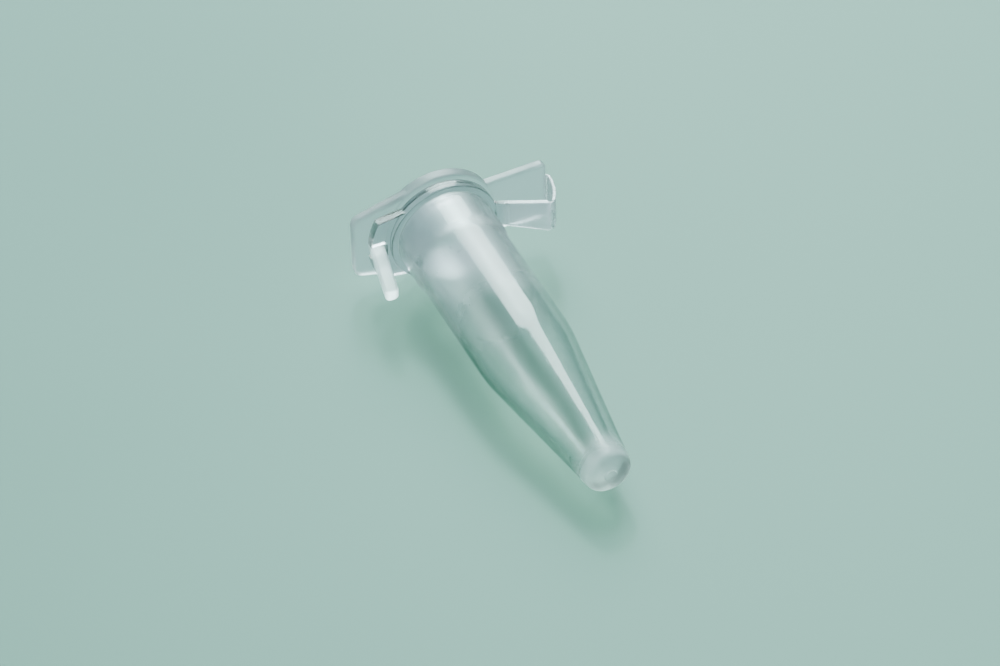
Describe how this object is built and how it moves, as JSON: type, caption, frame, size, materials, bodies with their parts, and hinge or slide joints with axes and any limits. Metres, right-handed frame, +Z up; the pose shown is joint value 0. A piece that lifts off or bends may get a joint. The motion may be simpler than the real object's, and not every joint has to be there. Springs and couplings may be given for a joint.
{
  "type": "microcentrifuge tube",
  "caption": "Small clear plastic laboratory tube with a conical lower half, a snap lid on a living hinge, a thumb tab and a latch finger, lying closed on its side.",
  "frame": {"origin": "middle of the closed tube's bounding box, on the surface that it lies on", "axes": "+X along the tube towards its tip, +Y towards the hinge, +Z up; the tube lies on its side on the lid's edge and the lower edge of the barrel"},
  "size_m": [0.0322, 0.0172, 0.0098],
  "materials": {
    "clear_polypropylene": "clear, slightly hazy moulded polypropylene",
    "frosted_polypropylene": "finely frosted translucent polypropylene",
    "collar_polypropylene": "translucent moulded polypropylene",
    "lid_polypropylene": "translucent moulded polypropylene with a faint cool tint",
    "matt_panel": "finely textured writing surface"
  },
  "bodies": {
    "tube": {"rim_collar": "collar_polypropylene", "tube_neck": "frosted_polypropylene", "tube_barrel": "frosted_polypropylene", "tube_cone": "clear_polypropylene", "tube_tip": "clear_polypropylene", "gate_mark": "clear_polypropylene", "collar_wing": "collar_polypropylene", "collar_strap": "collar_polypropylene"},
    "web": {"hinge_web": "collar_polypropylene"},
    "lid": {"lid_disc": "lid_polypropylene", "lid_tab": "lid_polypropylene", "lid_strap": "lid_polypropylene", "writing_panel": "matt_panel", "plug_sleeve": "lid_polypropylene", "sealing_bead": "lid_polypropylene", "latch_finger": "lid_polypropylene"}
  },
  "joints": [
    {"name": "collar_crease", "type": "hinge", "parent": "tube", "child": "web", "pos_m": [-0.01179, 0.00736, 0.00507], "axis": [-0.0601, 0.0436, -0.9972], "range_deg": [0, 81]},
    {"name": "lid_crease", "type": "hinge", "parent": "web", "child": "lid", "pos_m": [-0.01499, 0.00841, 0.00531], "axis": [-0.0601, 0.0436, -0.9972], "range_deg": [0, 90]}
  ],
  "couplings": [
    {"joint": "collar_crease", "follows": "lid_crease", "ratio": 0.9}
  ]
}
